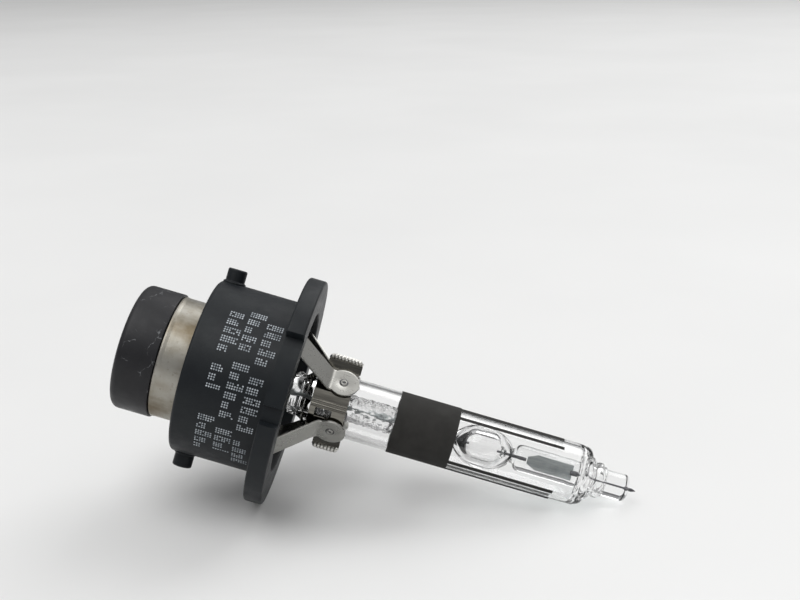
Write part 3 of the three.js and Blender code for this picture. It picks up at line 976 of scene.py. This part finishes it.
def envelope():
    """The outer tube, with a thick fused ring at each end where it was worked on to the arc tube."""
    inner = GLASS_RADIUS - GLASS_WALL
    bore = STEM_RADIUS + GAP
    outline = [
        *rounded([
            (bore, GLASS_REAR, 0.15),
            (GLASS_NECK_RADIUS, GLASS_REAR, 0.6),
            (GLASS_NECK_RADIUS - 0.5, 0.9, 0.5),
            (GLASS_NECK_RADIUS, 1.5, 0),
        ], closed=False),
        *arc(GLASS_NECK_RADIUS, 2.6, GLASS_RADIUS - GLASS_NECK_RADIUS, 0.95, -80, 0),
        *[Vector((GLASS_RADIUS, z)) for z in steps(4, SHOULDER_STATION - 0.5, 30)],
        *arc(FRONT_NECK_RADIUS + 0.5, SHOULDER_STATION, GLASS_RADIUS - FRONT_NECK_RADIUS - 0.5, 1.5, 0, 84),
        *arc(FRONT_NECK_RADIUS - 0.05, 42.3, 0.5, 0.45, -55, 60),
        *arc(FRONT_NECK_RADIUS - 0.4, 43.6, 0.4, 0.6, -55, 90),
        *arc(bore, GLASS_FRONT - 0.3, 0.15, 0.3, 0, 90, 4),
        Vector((bore, 42.7)),
        *arc(bore, SHOULDER_STATION - 0.6, inner - bore, 1.4, 88, 0),
        *arc(bore, FUSED_REAR, inner - bore, 1.9, 0, -88, 20),
    ]
    body = lathe(outline)
    crumple(body, FRONT_WORKED, 0.22, 1.1)
    crumple(body, REAR_WORKED, 0.2, 1.0)
    finished(to_object("outer_tube", body), "quartz", "glass_envelope")


def coating():
    """The dark band, and the narrow strips that run forward from it."""
    rear, front = BAND_SPAN
    edges = []
    for clock, half in STRIPS:
        turn = math.degrees(half / COATING_RADIUS)
        edges.append((clock - turn, clock + turn))
    ends = [end for pair in edges for end in pair]
    even = [c - 180 for c in steps(0, 360, SEGMENTS)]
    clocks = sorted([c for c in even if all(abs(c - e) > 0.5 for e in ends)] + ends)
    stations = [*steps(rear, front, BAND_STEPS), *steps(front, STRIP_END, STRIP_STEPS)[1:]]
    rows = [[polar(COATING_RADIUS, c, z) for z in stations] for c in clocks]

    def skip(i, j):
        middle = (clocks[i] + clocks[i + 1]) / 2
        return j >= BAND_STEPS and not any(low < middle < high for low, high in edges)

    sheet = grid(rows, skip)
    bmesh.ops.remove_doubles(sheet, verts=sheet.verts, dist=1e-4)
    made = to_object("shield_band", sheet)
    thicken(made, COATING_THICKNESS, 0)
    finished(made, "coating", "shield_coating")


def shoulder(sign):
    """From a full stem, round its end, down to the neck of the vessel."""
    full = ARC_CENTRE + sign * SHOULDER_OFFSET
    neck = ARC_CENTRE + sign * NECK_OFFSET
    ease = 0.75
    return [*arc(STEM_RADIUS - ease, full, ease, -sign * 0.9, 0, 82, 8), Vector((NECK_RADIUS, neck))]


def burner():
    """The arc tube: round stems, two narrow necks, and the vessel round its closed chamber."""
    rear, front = STEM_SPAN
    vessel = arc(0, ARC_CENTRE, VESSEL_RADIUS, NECK_OFFSET + 0.25, -68, 68, 40)
    outline = [
        Vector((0, rear)),
        *rounded([(0, rear, 0), (STEM_RADIUS, rear, 0.5), (STEM_RADIUS, rear + 1, 0)], closed=False)[1:],
        *[Vector((STEM_RADIUS, z)) for z in steps(rear + 2, PINCH_SPAN[0], 20)],
        *[Vector((STEM_RADIUS, z)) for z in steps(*PINCH_SPAN, 70)[1:]],
        *shoulder(-1),
        *vessel,
        *shoulder(1)[::-1],
        *arc(STEM_RADIUS - 0.6, front - 0.6, 0.6, 0.6, 0, 80, 8),
        Vector((0, front)),
    ]
    chamber = rounded([
        (0, ARC_CENTRE - CHAMBER_HALF_LENGTH, 0),
        (CHAMBER_RADIUS, ARC_CENTRE - CHAMBER_BARREL, 1.6),
        (CHAMBER_RADIUS, ARC_CENTRE + CHAMBER_BARREL, 1.6),
        (0, ARC_CENTRE + CHAMBER_HALF_LENGTH, 0),
    ], closed=False)
    body = lathe(outline, closed=False)
    crumple(body, PINCH_SPAN, 0.26, 0.6)
    for face in body.faces:
        station = face.calc_center_median().z
        face.material_index = int(PINCH_SPAN[0] < station < PINCH_SPAN[1])
    made = to_object("burner_tube", body, [lathe(chamber, closed=False)])
    finished(made, "quartz", "arc_tube")
    made.data.materials.append(FINISHES["worked_quartz"])


def rod(name, outline, finish, node):
    wire = lathe(rounded(outline, closed=False), closed=False, clocks=even_clocks(WIRE_SEGMENTS))
    made = to_object(name, wire)
    finished(made, finish, node)


def electrodes():
    for place, sign in (("rear", -1), ("front", 1)):
        tip = ARC_CENTRE + sign * ARC_GAP / 2
        foot = ARC_CENTRE + sign * (ELECTRODE_FOOT - GAP)
        outline = [(0, tip, 0), (ELECTRODE_RADIUS, tip, 0.1), (ELECTRODE_RADIUS, foot, 0.05), (0, foot, 0)]
        rod("electrode_wire_" + place, outline, "tungsten", "electrode_" + place)


def foils():
    """Thin foils with a ripple along them, narrower towards the arc."""
    for place, sign in (("rear", -1), ("front", 1)):
        near, far = (ARC_CENTRE + sign * offset for offset in FOIL_SPAN)
        rows = []
        for share in steps(0, 1, 60):
            station = near + (far - near) * share
            width = FOIL_WIDTH / 2 * min(1, FOIL_TIP_SHARE + FOIL_TAPER * share)
            ripple = 0.02 * math.sin(share * 40)
            rows.append([
                Vector((width * a, ripple * math.cos(a * 2), station)) for a in steps(-1, 1, 10)
            ])
        made = to_object("foil_sheet_" + place, grid(rows))
        thicken(made, FOIL_THICKNESS, 0)
        finished(made, "molybdenum", "foil_" + place)


def leads():
    """The front lead is welded to its foil, runs thin through the tip tube and ends in a dark needle."""
    start = ARC_CENTRE + FOIL_SPAN[1] - 0.3
    rod("lead_wire_front", [
        (0, start, 0), (LEAD_RADIUS, start, 0.1), (LEAD_RADIUS, start + 1.1, 0.1),
        (LEAD_THIN, start + 1.3, 0.1), (LEAD_THIN, LEAD_TIP - 1.9, 0.1), (LEAD_RADIUS, LEAD_TIP - 1.5, 0.2),
        (LEAD_RADIUS, LEAD_TIP - 0.6, 0.1), (0.04, LEAD_TIP, 0.02), (0, LEAD_TIP, 0),
    ], "tungsten", "lead_front")
    end = ARC_CENTRE - FOIL_SPAN[1] + 0.3
    rod("lead_wire_rear", [
        (0, LEAD_REAR, 0), (LEAD_RADIUS, LEAD_REAR, 0.1), (LEAD_RADIUS, end, 0.1), (0, end, 0),
    ], "molybdenum", "lead_rear")


def return_strip():
    """The carried-over CAD strip, with its edges broken."""
    strip = frame["nodes"]["return_strip"]
    bevel(strip, 0.04)
    strip.data.materials.clear()
    strip.data.materials.append(FINISHES["tinned_metal"])


def dot(radius, clock, station):
    """One printed dot: a low disc on the body."""
    bm = bmesh.new()
    bmesh.ops.create_cone(
        bm, cap_ends=True, segments=8, radius1=DOT_RADIUS, radius2=DOT_RADIUS * 0.9, depth=DOT_HEIGHT
    )
    turned_by(bm, Matrix.Translation((0, radius, station)) @ UPRIGHT)
    return clocked(bm, clock)


def printing():
    """Rows of dotted tally bars round the body, which spell nothing."""
    step = math.degrees(DOT_PITCH / BODY_RADIUS)
    bm = bmesh.new()
    for row, (station, first, last) in enumerate(PRINT_ROWS):
        for column in range(int((last - first) / step)):
            bar, part = divmod(column, 4)
            if part == 3 or bar % 7 == 5:
                continue
            for k in range(BAR_HEIGHTS[(bar + 3 * row) % len(BAR_HEIGHTS)]):
                if random.random() < DOT_MISSING:
                    continue
                across = station + (k - DOTS_ACROSS / 2) * DOT_PITCH
                join(bm, dot(BODY_RADIUS + DOT_HEIGHT / 2, first + column * step, across))
    finished(to_object("printed_dots", bm), "print_ink")


housing()
cap()
sleeve()
core()
contact()
holder()
carrier()
return_strip()
for strap_place, strap_clock in STRAPS.items():
    strap(strap_place, strap_clock)
    weld(strap_place, strap_clock)
collar_half("collar_sheet_front", 0, (UPPER_EAR, LOWER_EAR), True, "collar_front")
collar_half("collar_sheet_rear", 180, (LOWER_EAR, UPPER_EAR), False, "collar_rear")
envelope()
coating()
burner()
electrodes()
foils()
leads()
printing()


# -------------------------------------------------------------------------------------------------- studio

def studio_floor():
    size = FLOOR_HALF_SIZE
    floor = bpy.data.meshes.new("studio_floor")
    corners = [(-size, -size, 0), (size, -size, 0), (size, size, 0), (-size, size, 0)]
    floor.from_pydata(corners, [], [(0, 1, 2, 3)])
    floor.materials.append(floor_finish())
    made = bpy.data.objects.new("studio_floor", floor)
    made.location.z = -FLOOR_DROP
    scene.collection.objects.link(made)


def softbox(name, place, size, power):
    """A square area light at a place in the row frame, facing the lamp."""
    light = bpy.data.lights.new(name, "AREA")
    light.size = size
    light.energy = power
    made = bpy.data.objects.new(name, light)
    made.location = place
    made.rotation_euler = (-Vector(place)).to_track_quat("-Z", "Y").to_euler()
    scene.collection.objects.link(made)


def studio():
    """A pale dome, darker towards the horizon, and three soft boxes."""
    world = bpy.data.worlds.new("studio")
    scene.world = world
    world.use_nodes = True
    tree = world.node_tree
    split = tree.nodes.new("ShaderNodeSeparateXYZ")
    tree.links.new(tree.nodes.new("ShaderNodeTexCoord").outputs["Generated"], split.inputs[0])
    ramp = tree.nodes.new("ShaderNodeValToRGB")
    low, high = ramp.color_ramp.elements
    low.position, low.color = 0.05, (0.13, 0.135, 0.14, 1)
    high.position, high.color = 0.75, (1.0, 1.0, 1.0, 1)
    tree.links.new(split.outputs["Z"], ramp.inputs[0])
    background = tree.nodes["Background"]
    tree.links.new(ramp.outputs[0], background.inputs["Color"])
    background.inputs["Strength"].default_value = WORLD_STRENGTH
    for name, place, size, power in SOFT_BOXES:
        softbox(name, place, size, power)


def camera():
    """The camera looks square at the lamp's axis from the front, from above."""
    tilt = math.radians(CAMERA_TILT)
    right = Vector((math.sin(tilt), 0, math.cos(tilt)))
    up = Vector((math.cos(tilt), 0, -math.sin(tilt)))
    back = Vector((0, 1, 0))
    view = Matrix((right, up, back)).transposed().to_4x4()
    data = bpy.data.cameras.new("camera")
    data.lens = LENS
    data.sensor_width = SENSOR
    data.clip_start = 0.001
    made = bpy.data.objects.new("camera", data)
    made.matrix_world = LAMP @ Matrix.Translation(CAMERA_POINT * MM) @ view
    scene.collection.objects.link(made)
    scene.camera = made


studio_floor()
studio()
camera()
scene.view_settings.view_transform = "Standard"
